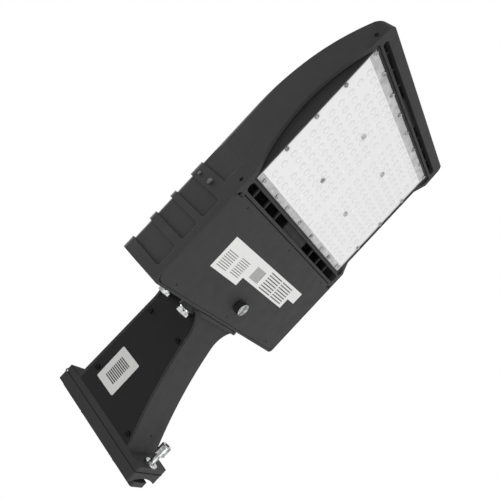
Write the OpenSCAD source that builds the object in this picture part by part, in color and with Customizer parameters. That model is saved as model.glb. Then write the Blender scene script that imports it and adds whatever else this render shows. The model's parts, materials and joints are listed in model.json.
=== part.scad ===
// Shoebox area light on a short arm that hooks onto a pole adapter.
// Millimetres. +Z is up, +X runs from the pole to the tip of the head, and the
// origin is the centre of the adapter's pole face. The light shines down.

/* [Pole adapter] */
// Width of the pole adapter and of the arm's end plate
plate_w = 60; // [50:1:80]
// Height of the pole adapter and of the arm's end plate
plate_h = 178; // [150:1:220]
// Thickness of the pole adapter
adapter_t = 13.8; // [11:0.1:20]
// Radius of the pole that the adapter's hollow back fits
pole_r = 60; // [50:1:90]
// Width of the flat lips on each side of the hollow back
lip_w = 4; // [2:0.5:8]
// Corner radius of the adapter, end plate and clamp bar
plate_corner_r = 3; // [1:0.5:8]
// Distance between the two pole bolts
pole_bolt_spacing = 84; // [60:1:100]
// Radius of the wire way through the adapter
wire_way_r = 12; // [8:0.5:14]
// Thickness of the gasket between adapter and arm
adapter_gasket_t = 1; // [0.5:0.1:2]

/* [Clamp bar] */
// Width of the clamp bar that sits inside the pole
bar_w = 28; // [24:1:36]
// Thickness of the clamp bar
bar_t = 7.5; // [5:0.5:10]
// How far the clamp bar backs off along its bolts
bar_travel = 4.5; // [2:0.5:6]

/* [Hook] */
// Radius of the hook pin
hook_pin_r = 1.8; // [1.5:0.1:3]
// Outside radius of the knuckles round the hook pin
knuckle_r = 3.2; // [2.8:0.1:5]
// How far the knuckles stand above the adapter
knuckle_rise = 1; // [0:0.5:2]

/* [Arm] */
// Thickness of the arm's end plate
end_plate_t = 7.8; // [6:0.1:12]
// Height of the arm's top edge at its pole end
arm_top_pole = 67; // [55:0.5:80]
// Height of the arm's top edge at its head end
arm_top_head = 63.5; // [55:0.5:80]
// Height of the arm's underside at its pole end
arm_under_pole = -61.8; // [-70:0.1:-40]
// Height of the arm's underside at its head end
arm_under_head = -12; // [-30:0.5:0]
// Radius of the arched underside
under_r = 590; // [400:10:1200]
// Wall thickness of the arm
arm_wall = 4; // [3:0.5:6]
// Thickness of the arm's side cover
cover_t = 2.6; // [2:0.1:4]
// Distance from the arm's outline to the cover's edge
cover_margin = 3.6; // [2:0.1:6]
// Width of the ledge that the cover sits on
cover_ledge = 3; // [2:0.5:5]
// How far the flange that carries the head reaches out past each side of the arm
flange_out = 22; // [20:1:30]
// Thickness of the flange
flange_t = 4.3; // [3:0.1:8]
// Length over which the arm widens to its flange
flare_l = 32; // [20:1:50]
// Distance from each side of the arm out to its head bolts
head_bolt_out = 11; // [10.5:0.5:14]
// Height of the lower head bolts
head_bolt_low = 8; // [4:0.5:12]
// Height of the upper head bolts
head_bolt_high = 50; // [46:0.5:50]

/* [Head] */
// Width of the head along its bottom edge
head_w = 324; // [280:1:360]
// Distance from the pole face to the head's back wall
head_x = 202.3; // [190:0.1:245]
// Length of the head
head_l = 370.7; // [350:0.1:420]
// Height of the head's bottom plane
head_bottom = -19.1; // [-30:0.1:-10]
// Height of the roof's crown
crown_z = 70; // [66:1:90]
// Radius of the domed roof across the head
roof_r = 800; // [600:10:2000]
// Radius of the edge between side and roof
roof_edge_r = 10; // [8:0.5:16]
// Lean of the side walls
side_lean = 6.5; // [0:0.5:12]
// Height of the hood's flat roof
hood_top = 53.3; // [50:0.1:56]
// Length of the level part of the roof, from the back wall
level_l = 162.7; // [150:0.1:200]
// Radius of the hood's first bend in side view
fall_r = 548; // [450:1:650]
// Angle that the first bend turns through
fall_angle = 11.9; // [8:0.1:16]
// Radius of the hood's second bend
bend_r = 221; // [200:1:240]
// Radius of the tip's top edge
nose_r = 8; // [7:0.5:14]
// How much each side narrows towards the tip
tip_narrowing = 2.5; // [0.5:0.5:12]
// Length over which the head narrows to its tip
taper_l = 60; // [40:1:100]
// Corner radius of the tip in plan
nose_corner_r = 10; // [8:0.5:20]
// Corner radius of the back in plan
back_corner_r = 8; // [4:1:16]
// Wall thickness of the driver box
box_wall = 5.5; // [5:0.5:8]
// Wall thickness of the hood
hood_wall = 3.2; // [2.5:0.1:5]
// Thickness of the head's back wall
back_wall = 3.5; // [3:0.5:6]
// Length of the driver box's raised part, from the back wall
band_l = 129.1; // [120:0.1:135]
// Depth of the pockets between the driver box's ribs
pocket_d = 3; // [1:0.5:3.5]
// Height of the pockets' lower ends
pocket_z = -9.5; // [-12:0.5:0]
// Radius of the arch in the side wall's lower edge
arch_r = 229; // [180:1:300]
// Height of the arch's top
arch_top = -1; // [-8:0.5:4]
// Distance from the back wall to the middle of the arch
arch_l = 247.2; // [240:0.1:260]

/* [Door] */
// Distance from the back wall to the door
door_from = 3.8; // [3:0.1:10]
// Length of the door
door_l = 129.3; // [115:0.1:132]
// Distance from each side of the head to the door
door_side = 2.2; // [1.5:0.1:8]
// Thickness of the door
door_t = 3; // [2:0.1:4]
// Corner radius of the door
door_corner_r = 12; // [6:0.5:20]
// Radius of the rolled edge that the door turns on
door_roll_r = 2.3; // [2:0.1:3]
// Radius of the door's hinge pins
door_pin_r = 1.2; // [1:0.1:1.5]
// Width of the door's gasket
door_gasket_w = 4; // [3:0.5:6]
// Thickness of the door's gasket
door_gasket_t = 1.8; // [1:0.1:3]

/* [Knob] */
// Distance from the back wall to the knob
knob_from = 31.3; // [22:0.1:38]
// Radius of the knob's grip
knob_r = 9.3; // [7:0.1:12]
// Height of the knob's grip
knob_h = 8; // [6:0.5:12]
// Space between the door and the grip
knob_gap = 2.7; // [2:0.1:4]
// Radius of the knob's screw
knob_screw_r = 3; // [2.5:0.1:4]
// How far the knob's screw backs off
knob_travel = 4; // [3:0.5:6]
// Number of grooves round the grip
knob_grooves = 28; // [16:1:40]

/* [Vents] */
// Distance from the back wall to the back vent
vent_from = 137.7; // [137:0.1:142]
// Width of the back vent
vent_w = 12; // [8:0.5:16]
// Distance from the back wall to the front vent
front_vent_from = 349; // [347:0.1:353]
// Width of the front vent
front_vent_w = 8.2; // [6:0.1:12]
// Distance from each side of the head to the vents
vent_side = 10; // [8:0.5:20]
// Distance between the bars across the vents
vent_pitch = 30.6; // [25:0.1:35]
// Width of a bar
vent_bar_w = 3.5; // [2:0.5:6]
// Height of the bars' lower faces
vent_bar_z = -10.9; // [-14:0.1:-8]
// Width of the wire bridge in the middle of the vents
bridge_w = 66; // [40:1:80]

/* [Light module] */
// Distance from the back wall to the lens tray
tray_from = 152.9; // [152.8:0.1:155]
// Length of the lens tray
tray_l = 192.4; // [180:0.1:194]
// Distance from each side of the head to the lens tray
tray_side = 10.5; // [9:0.5:20]
// Wall thickness of the lens tray
tray_wall = 2.2; // [1.5:0.1:3]
// Height of the lens tray's lower edge
tray_z = -17; // [-19:0.1:-16]
// Height of the lens plate's lower face
lens_z = -15.3; // [-16.5:0.1:-14]
// Thickness of the lens plate
lens_t = 2; // [1.5:0.1:2.2]
// Lower face of the heat sink's base
sink_z = -10; // [-12:0.1:-8]
// Thickness of the heat sink's base
sink_t = 4; // [3:0.5:6]
// Number of fins
fin_count = 25; // [15:1:31]
// Thickness of a fin
fin_t = 2; // [1.5:0.1:3]
// Height of the fins' tips
fin_top = 34; // [20:1:36]
// LED spacing along the head
led_pitch_x = 15.17; // [14:0.01:16]
// LED spacing across the head
led_pitch_y = 14.34; // [13:0.01:15]
// Distance between the two middle rows of LEDs
led_gap = 26.4; // [24:0.1:30]
// Number of LEDs along the head
led_columns = 11; // [8:1:11]
// Number of rows on each board
led_rows = 9; // [6:1:9]
// Radius of the optic over each LED
optic_r = 4.8; // [3:0.1:5]
// How far each optic stands out of the lens plate
optic_h = 1.3; // [0.5:0.1:1.6]

/* [Fits] */
// Radial clearance of a pin, bolt or screw that turns in its hole
running = 0.06; // [0.02:0.01:0.1]
// Radial clearance of a bolt through a plain hole
through = 0.4; // [0.2:0.1:1]
// Gap between pieces that move past each other
gap = 0.3; // [0.25:0.05:0.5]

/* [Hidden] */
$fn = 64;
poke = 0.5;          // how far a cutter passes a face
proud = 0.3;         // how far a shape that trims another stands clear of it where it doesn't
step = 0.02;         // how far each of two rounds in a row lies inside the one before
big = 400;           // beyond every face of the light
casting = [0.28, 0.28, 0.28];
dark_casting = [0.17, 0.17, 0.17];
steel = [0.75, 0.75, 0.77];
rubber = [0.08, 0.08, 0.08];
paper = [0.93, 0.93, 0.93];

// Pole end
lip_y = plate_w / 2 - lip_w;
hollow_d = pole_r - sqrt(pole_r * pole_r - lip_y * lip_y);
end_x0 = adapter_t + adapter_gasket_t + gap;
end_x1 = end_x0 + end_plate_t;
hook_x = adapter_t + adapter_gasket_t / 2;
hook_z = plate_h / 2 + knuckle_rise - knuckle_r;
knuckle_end = plate_w / 2 - 1;
knuckle_edges = [knuckle_end, 19, 6];
window_half_w = 15;
window_half_h = pole_bolt_spacing / 2 + 12;
pole_bolt_r = 5;
pole_bolt_tip = -bar_t - bar_travel - 2 * gap;
pole_washer_t = 2;
gasket_in = 0.6;      // how far the adapter's gasket stays inside the plate's sides
gasket_out = 0.8;     // how far it hangs out below the plate
hex_h = 6.4;
hex_af = 16;
washer_r = 8.8;
lock_z = -81;
lock_r = 4;
lock_tip = end_x0 + 1;
lock_head_x = 41.2;
lock_head_h = 12;
lock_head_r = 6.9;
lock_edge = 1;
lock_socket_r = 3.5;
lock_socket_d = 5;
lock_washer_t = 1.6;
seat_washer_t = 2;

// Arm
flange_gasket_t = 1.2;
flange_x1 = head_x - flange_gasket_t;
flange_x0 = flange_x1 - flange_t;
boss_x = flange_x0 - 7.8;
flange_half_w = plate_w / 2 + flange_out;
head_bolt_y = plate_w / 2 + head_bolt_out;
boss_r = 11.6;
chord = [flange_x0 - end_x1, arm_under_head - arm_under_pole];
chord_l = norm(chord);
chord_mid = [(flange_x0 + end_x1) / 2, (arm_under_head + arm_under_pole) / 2];
chord_normal = [-chord[1], chord[0]] / chord_l;
under_centre = chord_mid - chord_normal * sqrt(under_r * under_r - chord_l * chord_l / 4);
arm_half_w = plate_w / 2;
flare_side = flange_half_w - arm_half_w;
flare_r = (flare_l * flare_l + flare_side * flare_side) / (2 * flare_side);
flare_x = flange_x0 - flare_l;
wedge_x = 34.5;
cover_screw_r = 2;
cover_screw_l = 11;
cover_boss_r = 5;
cover_head_r = 3.4;
cover_head_h = 2;
cross_half_l = 2.2;   // half the length and half the width of one stroke of a cross recess
cross_half_w = 0.4;
cover_screws = [[51, 54], [flange_x0 - 46.4, 53], [33, -46], [flange_x0 - 45, -8.3]];
label_size = [50.8, 38.1];
label_at = [43.8, 7.5];
sticker_t = 0.3;
weep_at = [42, 4];
wire_r = 1.4;
wire_bend = 1.08;     // a bend's radius over its wire's
wire_stop = 0.3;      // how far short of a bend's centre a straight run stops, over the wire's radius
wire_hole_r = 11;
wire_hole_z = 28;
lead_pitch = 4;       // sideways distance between two leads in the arm
lead_z = [22, 44, wire_hole_z + 1];   // heights of the leads' start, long run and end in the arm
lead_x = [40, flange_x0 - 31.8, flange_x0 - 6.8];

// Head
head_bolt_r = 5;
head_bolt_tip = head_x + 9.7;
back_boss_x = head_bolt_tip + 2;
back_boss_r = 9;
head_half_w = head_w / 2;
tip_half_w = head_half_w - tip_narrowing;
nose_x = head_x + head_l;
fall_x = head_x + level_l;
band_x = head_x + band_l;
arch_x = head_x + arch_l;
vent_x = head_x + vent_from;
vent_l = head_w - 2 * vent_side;
front_vent_x = head_x + front_vent_from;
tray_x = head_x + tray_from;
tray_w = head_w - 2 * tray_side;
side_out = [cos(side_lean), sin(side_lean)];
side_up = [-sin(side_lean), cos(side_lean)];
edge_from = [head_half_w, head_bottom] - roof_edge_r * side_out;
fall_c = [fall_x, hood_top - fall_r];
bend_c = fall_c + (fall_r - bend_r) * [sin(fall_angle), cos(fall_angle)];
nose_run = nose_x - nose_r - bend_c[0];
nose_c = bend_c + [nose_run, sqrt(pow(bend_r - nose_r, 2) - nose_run * nose_run)];
nose_angle = asin(nose_run / (bend_r - nose_r));
fin_clear = 3;
pockets = [for (p = [[15.2, 42.7], [53.2, 76.7], [85.3, 110.3]]) [head_x + p[0], head_x + p[1]]];
pocket_corner_r = 5;
fade_l = 29;
fade_z = 3.7;
bulkhead_x = vent_x - 4;
rail_x = vent_x + vent_w;
rail_front_x = tray_x + tray_l + 0.4;
window_half_y = head_half_w - 7.5;
side_rail_top = 6;
vent_corner_r = 5;
front_vent_in = 3;
front_vent_corner_r = 3.5;
plug_small = [band_x - 11.2, 41.2, 2.2];
plug_large = [band_x - 10.4, 20.6, 3.6];
plug_rise = 1.2;
plug_height = 1.8;
plug_neck = 0.6;
frame_screws = [vent_x + 4.7, nose_x - 20.3];
frame_screw_z = -12;
frame_screw_r = 2.6;
frame_screw_d = 1.5;
frame_socket_r = 1.2;

// Door and its seat
door_x0 = head_x + door_from;
door_x1 = door_x0 + door_l;
door_w = head_w - 2 * door_side;
seat_z = head_bottom + door_t + gap + door_gasket_t;
seat_t = 3;
seat_corner_r = 8;
corner_room = 2;      // how much smaller the recess's corner radius is than the door's
door_label_2d = [
    [46.1, -105], [90.8, -105], [91.9, 108.2], [73.7, 108.2], [73.7, 87.1], [57.5, 87.1],
    [58.5, -36.9], [46.1, -36.9]
];
roll_x = door_x1 - door_roll_r;
roll_z = head_bottom + door_roll_r;
roll_half_l = door_w / 2 - door_corner_r;
lug_w = 5;
lug_r = 2.1;
gasket_x0 = door_x0 + 4;
gasket_x1 = roll_x - door_roll_r - 5;
gasket_half_w = door_w / 2 - 4.5;
door_inner_z = head_bottom + door_t;
door_boss_r = 7;
door_boss_top = door_inner_z + 3.5;
pin_hole_l = 12;
door_rib_y = 80;
door_rib_in = 12;
door_rib_h = 2.5;
dimple_r = 1.5;
dimple_d = 0.8;
dimple_x = [door_x0 + 7.4, door_x1 - 7.4];
dimple_y = [-127.5, 0, 127.5];

// Knob
knob_x = head_x + knob_from;
grip_top = head_bottom - knob_gap;
grip_bottom = grip_top - knob_h;
screw_head_r = knob_r - 0.7;
screw_head_h = 2;
slot_w = 1.7;
slot_d = 1.1;
groove_r = 0.75;
knob_washer_r = 6;
ring_r = 5;
ring_t = 1;
ring_z = door_boss_top + knob_travel + gap;
insert_z = ring_z + ring_t + 1.5;
insert_h = 13;
insert_r = 5.5;
insert_clear = 0.5;
thread_top = insert_z + 3;
tip_r = 2;
tip_top = thread_top + 4;
post_r = 8.5;

// Drivers
tray_plate_z = 50;
tray_plate_t = 1.5;
tray_plate_x = [head_x + 43.7, band_x - 6];
tray_plate_half_y = 134;
tray_screw_x = [tray_plate_x[0] + 8, tray_plate_x[1] - 5.4];
tray_screw_y = 124;
tray_screw_in = 2;
tray_lip = 8;
tray_boss_r = 5;
driver_size = [72, 122, 38];
driver_x = tray_plate_x[0] + 5;
driver_y = 6;
driver_cap = 8;
driver_in = 3;
driver_grooves = 6;
groove_pitch = 9;
groove_w = 2;
groove_d = 1.5;
surge_size = [20, 46, 28];
surge_at = [head_x + back_wall, -112, 4];
block_size = [15, 48, 20];
block_at = [head_x + back_wall, 64, 8];
ground_at = [head_x + 7.7, -128];
ground_screw_l = 2.5;
ground_head_r = 4;
ground_head_h = 2;
entry_r = wire_r + 0.25;
entry_d = 6;
entry_x = 9;
grommet_r = 7;
grommet_z = 3;
driver_lead_z = tray_plate_z - driver_size[2] + 6;
core_r = 1.3;
core_y = 1.8;
core_rise = 3;
core_pitch = 5.5;

// Light module
sink_x0 = rail_x + 0.3;
sink_x1 = front_vent_x - 0.3;
pad_t = 0.8;
board_t = 1.6;
led_h = 0.6;
led_w = 3;
board_z = sink_z - pad_t - board_t;
lens_x0 = tray_x + tray_wall + 0.3;
lens_x1 = tray_x + tray_l - tray_wall - 0.3;
lens_half_y = tray_w / 2 - tray_wall - 0.3;
lens_mid = (lens_x0 + lens_x1) / 2;
lens_corner_r = 3;
seal_inset = 0.8;
seal_w = 8;
board_x = [lens_mid - 84, lens_mid + 84];
board_y = [4, 139.5];
skipped_columns = [1, led_columns - 2];
skipped_row = 7;
edge_screw_x = [tray_x + 6.4, tray_x + tray_l - 5.3];
back_screw_y = [21.3, 64.4, 96.2, 134.2];
front_screw_y = [21.5, 64.8, 106.8, 144.2];
side_screw_x = [tray_x + 47.3, tray_x + 94.3, tray_x + 140.4];
side_screw_y = tray_w / 2 - 7.3;
centre_screw_x = 36;
centre_screw_y = 48.6;
small_screw_r = 1.5;
small_head_r = 2.8;
centre_head_r = 3.3;
small_head_h = 1.6;
board_screw_offsets = [[60, 118], [34.5, 93.6]];
board_screw_mid_x = 59.5;
board_screw_mid_y = 7;
board_hole_r = 2.2;
board_head_r = 2.6;
board_head_h = 0.7;
lens_screw_l = 8;

// ---- Shapes -------------------------------------------------------------

// A box between two corners given as ranges
module block(x, y, z) {
    translate([x[0], y[0], z[0]])
        cube([x[1] - x[0], y[1] - y[0], z[1] - z[0]]);
}

// A shape drawn in Y and Z, run from x0 to x1
module along_x(x0, x1) {
    translate([x0, 0, 0])
        rotate([90, 0, 90])
            linear_extrude(x1 - x0)
                children();
}

// A shape drawn in X and Z, run from y0 to y1
module along_y(y0, y1) {
    translate([0, y1, 0])
        rotate([90, 0, 0])
            linear_extrude(y1 - y0)
                children();
}

// A shape drawn in X and Y, run from z0 to z1
module along_z(z0, z1) {
    translate([0, 0, z0])
        linear_extrude(z1 - z0)
            children();
}

module rod_x(r, x0, x1, y, z, r2 = undef) {
    translate([x0, y, z])
        rotate([0, 90, 0])
            cylinder(r1 = r, r2 = is_undef(r2) ? r : r2, h = x1 - x0);
}

module rod_y(r, x, y0, y1, z) {
    translate([x, y1, z])
        rotate([90, 0, 0])
            cylinder(r = r, h = y1 - y0);
}

module rod_z(r, x, y, z0, z1, r2 = undef) {
    translate([x, y, z0])
        cylinder(r1 = r, r2 = is_undef(r2) ? r : r2, h = z1 - z0);
}

// A rectangle between two corners, its own corners rounded
module round_rect(x, y, r) {
    translate([x[0] + r, y[0]])
        square([x[1] - x[0] - 2 * r, y[1] - y[0]]);
    translate([x[0], y[0] + r])
        square([x[1] - x[0], y[1] - y[0] - 2 * r]);
    for (cx = [x[0] + r, x[1] - r], cy = [y[0] + r, y[1] - r])
        translate([cx, cy])
            circle(r);
}

// A flat ring with round corners, made from two rectangles
module frame_2d(x, y, r, w) {
    difference() {
        round_rect(x, y, r);
        round_rect([x[0] + w, x[1] - w], [y[0] + w, y[1] - w], max(r - w, 1));
    }
}

// Both sides of the light
module both_sides() {
    children();
    mirror([0, 1, 0])
        children();
}

// A washer that faces along X
module washer_x(r, hole, x0, x1, y, z) {
    difference() {
        rod_x(r, x0, x1, y, z);
        rod_x(hole, x0 - poke, x1 + poke, y, z);
    }
}

// A hexagon head along X, its outer corners turned off
module hex_head(x0, x1, y, z) {
    corner_r = hex_af / sqrt(3);
    intersection() {
        translate([x0, y, z])
            rotate([0, 90, 0])
                cylinder(r = corner_r, h = x1 - x0, $fn = 6);
        rod_x(corner_r - 1.2, x0, x1, y, z, corner_r * 1.25);
    }
}

// The turn that points the Z axis along v
function aim(v) = [0, acos(v[2] / norm(v)), atan2(v[1], v[0])];

// A round wire through a list of points, with a small ball at each bend
module wire(points, r = wire_r) {
    last = len(points) - 2;
    for (i = [0:last]) {
        run = points[i + 1] - points[i];
        from = i == 0 ? 0 : r * wire_stop;
        to = norm(run) - (i == last ? 0 : r * wire_stop);
        translate(points[i])
            rotate(aim(run))
                translate([0, 0, from])
                    cylinder(r = r, h = to - from, $fn = 24);
    }
    for (i = [1:last]) {
        before = points[i] - points[i - 1];
        after = points[i + 1] - points[i];
        translate(points[i])
            rotate(aim(before / norm(before) + after / norm(after)))
                sphere(r = r * wire_bend, $fn = 24);
    }
}

// A pan head screw that points up, its head's seat at z
module screw_up(x, y, z, r, head_r, head_h, l) {
    difference() {
        rod_z(head_r, x, y, z - head_h, z);
        block([x - head_r * 0.6, x + head_r * 0.6], [y - 0.4, y + 0.4], [z - head_h - poke, z - head_h * 0.5]);
    }
    rod_z(r, x, y, z, z + l);
}

// ---- Pole end -----------------------------------------------------------

// Y ranges of the adapter's own knuckles
function adapter_knuckles() = [
    [-knuckle_edges[0], -knuckle_edges[1]],
    [-knuckle_edges[2], knuckle_edges[2]],
    [knuckle_edges[1], knuckle_edges[0]]
];

// Y ranges of the arm's hooks, between the adapter's knuckles
function hook_knuckles() = [
    [-knuckle_edges[1] + gap, -knuckle_edges[2] - gap],
    [knuckle_edges[2] + gap, knuckle_edges[1] - gap]
];

module knuckles(ranges, r, extra) {
    for (k = ranges)
        rod_y(r, hook_x, k[0] - extra, k[1] + extra, hook_z);
}

module plate_2d() {
    round_rect([-plate_w / 2, plate_w / 2], [-plate_h / 2, plate_h / 2], plate_corner_r);
}

module pole_bolt_holes(r, x0, x1) {
    for (side = [-1, 1])
        rod_x(r, x0, x1, 0, side * pole_bolt_spacing / 2);
}

module pole_adapter() {
    color(casting)
        difference() {
            union() {
                along_x(0, adapter_t)
                    plate_2d();
                knuckles(adapter_knuckles(), knuckle_r, 0);
            }
            rod_z(pole_r, hollow_d - pole_r, 0, -plate_h, plate_h);
            knuckles(hook_knuckles(), knuckle_r + gap, gap);
            rod_y(hook_pin_r, hook_x, -plate_w, plate_w, hook_z);
            pole_bolt_holes(pole_bolt_r + through, -poke, adapter_t + poke);
            rod_x(wire_way_r, -poke, adapter_t + poke, 0, 0);
            rod_x(lock_r + running, -poke, adapter_t + poke, 0, lock_z);
        }
}

module adapter_gasket() {
    color(rubber)
        along_x(adapter_t, adapter_t + adapter_gasket_t)
            difference() {
                round_rect([-plate_w / 2 + gasket_in, plate_w / 2 - gasket_in],
                    [-plate_h / 2 - gasket_out, hook_z - knuckle_r - 1.5], plate_corner_r);
                round_rect([-window_half_w, window_half_w], [-window_half_h, window_half_h],
                    plate_corner_r);
                translate([0, lock_z])
                    circle(lock_r + 1);
            }
}

module hook_pin() {
    color(steel)
        rod_y(hook_pin_r, hook_x, -knuckle_end, knuckle_end, hook_z);
}

module pole_bolt(side) {
    z = side * pole_bolt_spacing / 2;
    color(steel) {
        rod_x(pole_bolt_r, pole_bolt_tip, adapter_t + pole_washer_t, 0, z);
        hex_head(adapter_t + pole_washer_t, adapter_t + pole_washer_t + hex_h, 0, z);
    }
}

module pole_washer(side) {
    color(steel)
        washer_x(washer_r, pole_bolt_r + running, adapter_t, adapter_t + pole_washer_t, 0,
            side * pole_bolt_spacing / 2);
}

module clamp_bar() {
    color(casting)
        difference() {
            along_x(-bar_t - gap, -gap)
                round_rect([-bar_w / 2, bar_w / 2], [-plate_h / 2, plate_h / 2], plate_corner_r);
            pole_bolt_holes(pole_bolt_r + running, -bar_t - 1, 0);
            rod_x(wire_way_r - 2, -bar_t - 1, 0, 0, 0);
        }
}

// ---- Arm ----------------------------------------------------------------

// Side view of the arm between end plate and flange, drawn in by inset
module arm_profile(inset) {
    difference() {
        polygon([
            [end_x1, arm_under_pole - 20], [end_x1, arm_top_pole - inset],
            [flange_x0, arm_top_head - inset], [flange_x0, arm_under_pole - 20]
        ]);
        translate(under_centre)
            circle(under_r + inset, $fn = 256);
    }
}

// Plan view of the widening towards the flange
module flare_2d() {
    difference() {
        translate([flare_x, -flange_half_w])
            square([flange_x0 - flare_x, 2 * flange_half_w]);
        for (side = [-1, 1])
            translate([flare_x, side * (arm_half_w + flare_r)])
                circle(flare_r);
    }
}

function head_bolts() = [
    for (y = [-head_bolt_y, head_bolt_y], z = [head_bolt_low, head_bolt_high]) [y, z]
];

module arm_shell() {
    along_x(end_x0, end_x1)
        plate_2d();
    along_y(-arm_half_w, arm_half_w)
        arm_profile(0);
    along_y(-arm_half_w + 1, arm_half_w - 1)
        polygon([
            [end_x1, arm_top_pole - 1], [end_x1, plate_h / 2 - 1.4], [wedge_x, arm_top_pole - 1]
        ]);
    intersection() {
        along_z(-big, big)
            flare_2d();
        along_y(-flange_half_w, flange_half_w)
            difference() {
                arm_profile(0);
                arm_profile(arm_wall - 0.5);
            }
    }
    along_x(flange_x0, flange_x1)
        round_rect([-flange_half_w, flange_half_w], [head_bottom, arm_top_head], 8);
    for (b = head_bolts())
        intersection() {
            rod_x(boss_r, boss_x, flange_x1, b[0], b[1]);
            block([0, head_x], [-flange_half_w, flange_half_w], [head_bottom, arm_top_head]);
        }
    knuckles(hook_knuckles(), knuckle_r, 0);
}

module arm_body() {
    color(casting)
        difference() {
            arm_shell();
            difference() {
                union() {
                    along_y(-arm_half_w - poke, arm_half_w - arm_wall)
                        intersection() {
                            arm_profile(cover_margin + cover_ledge);
                            translate([end_x1 + cover_ledge, -big])
                                square([boss_x - end_x1 - cover_ledge, 2 * big]);
                        }
                    along_y(-arm_half_w + cover_t + arm_wall, arm_half_w - arm_wall)
                        arm_profile(arm_wall);
                }
                for (s = cover_screws)
                    rod_y(cover_boss_r, s[0], -arm_half_w + cover_t, arm_half_w, s[1]);
            }
            along_y(-arm_half_w - poke, -arm_half_w + cover_t)
                cover_2d(0);
            block([end_x0 - poke, end_x1 + poke], [-window_half_w, window_half_w],
                [-window_half_h, window_half_h]);
            rod_x(wire_hole_r, flange_x0 - poke, flange_x1 + poke, 0, wire_hole_z);
            rod_x(lock_r + running, end_x0 - poke, end_x1 + poke, 0, lock_z);
            knuckles(adapter_knuckles(), knuckle_r + gap, gap);
            rod_y(hook_pin_r + running, hook_x, -plate_w, plate_w, hook_z);
            for (b = head_bolts())
                rod_x(head_bolt_r + through, boss_x - poke, flange_x1 + poke, b[0], b[1]);
            for (s = cover_screws)
                rod_y(cover_screw_r, s[0], -arm_half_w, -arm_half_w + cover_screw_l + 1, s[1]);
            rod_z(1.5, weep_at[0], weep_at[1], arm_under_pole, -arm_wall);
        }
}

// Outline of the side cover, smaller by inset all round
module cover_2d(inset) {
    intersection() {
        arm_profile(cover_margin + inset);
        translate([end_x1 + 1 + inset, -big])
            square([boss_x + 1 - end_x1 - 1 - 2 * inset, 2 * big]);
    }
}

module arm_cover() {
    color(dark_casting)
        difference() {
            along_y(-arm_half_w, -arm_half_w + cover_t)
                cover_2d(0.25);
            for (s = cover_screws)
                rod_y(cover_screw_r + running, s[0], -arm_half_w - 1, -arm_half_w + 4, s[1]);
        }
}

module cover_screw(i) {
    s = cover_screws[i];
    color(rubber) {
        difference() {
            rod_y(cover_head_r, s[0], -arm_half_w - cover_head_h, -arm_half_w, s[1]);
            for (half = [[cross_half_l, cross_half_w], [cross_half_w, cross_half_l]])
                block([s[0] - half[0], s[0] + half[0]],
                    [-arm_half_w - cover_head_h - poke, -arm_half_w - cover_head_h / 2],
                    [s[1] - half[1], s[1] + half[1]]);
        }
        rod_y(cover_screw_r, s[0], -arm_half_w, -arm_half_w + cover_screw_l, s[1]);
    }
}

module arm_label() {
    color(paper)
        along_y(-arm_half_w - sticker_t, -arm_half_w)
            round_rect([label_at[0], label_at[0] + label_size[0]],
                [label_at[1], label_at[1] + label_size[1]], 2);
}

module head_bolt(i) {
    b = head_bolts()[i];
    x = boss_x - pole_washer_t;
    color(steel) {
        mirror([1, 0, 0])
            translate([-2 * x, 0, 0])
                hex_head(x, x + hex_h, b[0], b[1]);
        rod_x(head_bolt_r, x, head_bolt_tip, b[0], b[1]);
    }
}

module head_washer(i) {
    b = head_bolts()[i];
    color(steel)
        washer_x(washer_r, head_bolt_r + running, boss_x - pole_washer_t, boss_x, b[0], b[1]);
}

module flange_gasket() {
    color(rubber)
        along_x(flange_x1, head_x)
            difference() {
                round_rect([-flange_half_w + 1, flange_half_w - 1],
                    [head_bottom + 1, arm_top_head - 1], 7);
                for (b = head_bolts())
                    translate(b)
                        circle(head_bolt_r + 1);
                translate([0, wire_hole_z])
                    circle(wire_hole_r + 1);
            }
}

module lock_bolt() {
    x = lock_head_x;
    end = lock_head_x + lock_head_h;
    color(steel)
        difference() {
            union() {
                rod_x(lock_r, lock_tip, x, 0, lock_z);
                rod_x(lock_head_r, x, end - lock_edge, 0, lock_z);
                rod_x(lock_head_r, end - lock_edge, end, 0, lock_z, lock_head_r - lock_edge);
            }
            translate([end - lock_socket_d, 0, lock_z])
                rotate([0, 90, 0])
                    cylinder(r = lock_socket_r, h = lock_socket_d + poke, $fn = 6);
        }
}

module lock_bolt_washer() {
    color(steel)
        washer_x(lock_head_r + 0.3, lock_r + running, lock_head_x - lock_washer_t, lock_head_x, 0,
            lock_z);
}

module lock_seat_washer() {
    color(steel)
        washer_x(washer_r, lock_r + gap, end_x1, end_x1 + seat_washer_t, 0, lock_z);
}

// Where a supply lead goes into the terminal block, seen from above
function entry_at(i) = [
    block_at[0] + entry_x - lead_pitch * i,
    block_at[1] + block_size[1] / 2 + 2 * lead_pitch * i
];

module supply_leads() {
    block_top = block_at[2] + block_size[2];
    color(rubber)
        for (i = [-1, 0, 1]) {
            y = lead_pitch * i;
            at = entry_at(i);
            wire([
                [end_x0 + 3, y, lead_z[0]], [lead_x[0], y, lead_z[1]], [lead_x[1], y, lead_z[1]],
                [lead_x[2], y, lead_z[2]], [at[0], y, lead_z[2]],
                [at[0], at[1], block_top + entry_d], [at[0], at[1], block_top - entry_d]
            ]);
        }
}

// ---- Head ---------------------------------------------------------------

// Half width of the head's outline at a height, drawn in by inset
function side_y(z, inset) = head_half_w - (z - head_bottom) * tan(side_lean) - inset / cos(side_lean);

// How far up the leaning side the roof edge's radius lies: its circle touches the side's
// line and, from inside, the roof's circle
function edge_run() =
    let (d = edge_from - [0, crown_z - roof_r], up = d * side_up)
    sqrt(up * up - d * d + pow(roof_r - roof_edge_r, 2)) - up;

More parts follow.
